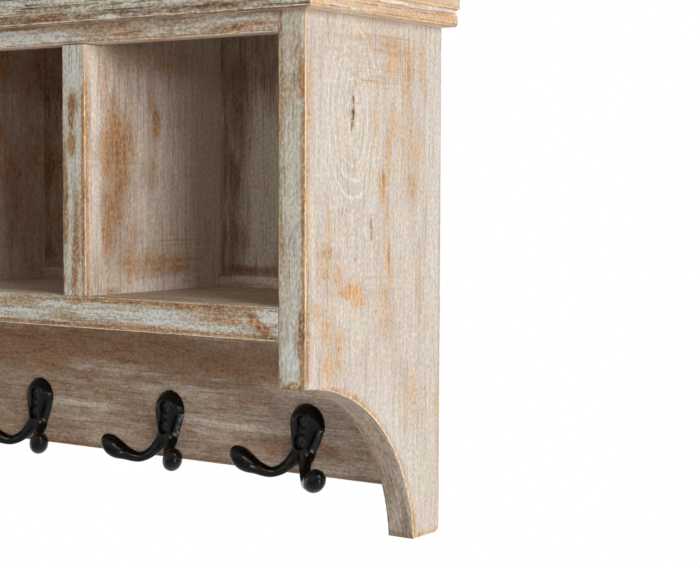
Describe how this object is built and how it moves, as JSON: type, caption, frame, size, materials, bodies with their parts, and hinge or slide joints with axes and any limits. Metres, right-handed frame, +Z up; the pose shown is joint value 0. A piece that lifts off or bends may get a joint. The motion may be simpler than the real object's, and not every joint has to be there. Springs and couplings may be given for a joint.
{
  "type": "wall shelf",
  "caption": "Distressed limed wood wall shelf with open cubbies, a mitred cornice and a lower board of cast iron double coat hooks.",
  "frame": {"origin": "midway between the round holes of the two wall hangers, on the wall plane", "axes": "+X to the right seen from the front, +Y into the wall (the front faces -Y), +Z up"},
  "size_m": [0.9284, 0.206, 0.456],
  "materials": {
    "limed_wood": "whitewashed and rubbed through, matt",
    "cast_iron": "glossy black",
    "black_screws": "black",
    "plated_steel": "zinc plated",
    "bright_steel": "plain",
    "dowel_wood": "plain beech"
  },
  "bodies": {
    "root": {"side_left": "limed_wood", "side_right": "limed_wood", "bottom_rail": "limed_wood", "top_rail": "limed_wood", "shelf_board": "limed_wood", "divider_1": "limed_wood", "divider_2": "limed_wood", "divider_3": "limed_wood", "back_board_1": "limed_wood", "back_board_2": "limed_wood", "back_board_3": "limed_wood", "back_board_4": "limed_wood", "hook_board": "limed_wood", "top_board": "limed_wood", "cornice_front": "limed_wood", "cornice_left": "limed_wood", "cornice_right": "limed_wood", "hook_1": "cast_iron", "hook_2": "cast_iron", "hook_3": "cast_iron", "hook_4": "cast_iron", "hook_5": "cast_iron", "hook_screws": "black_screws", "hanger_plate_left": "plated_steel", "hanger_plate_right": "plated_steel", "hanger_screws": "plated_steel", "divider_screws": "plated_steel", "back_nails": "bright_steel", "cornice_nails": "bright_steel", "rail_dowels": "dowel_wood", "shelf_dowels": "dowel_wood", "hook_board_dowels": "dowel_wood", "top_dowels": "dowel_wood"}
  },
  "joints": []
}
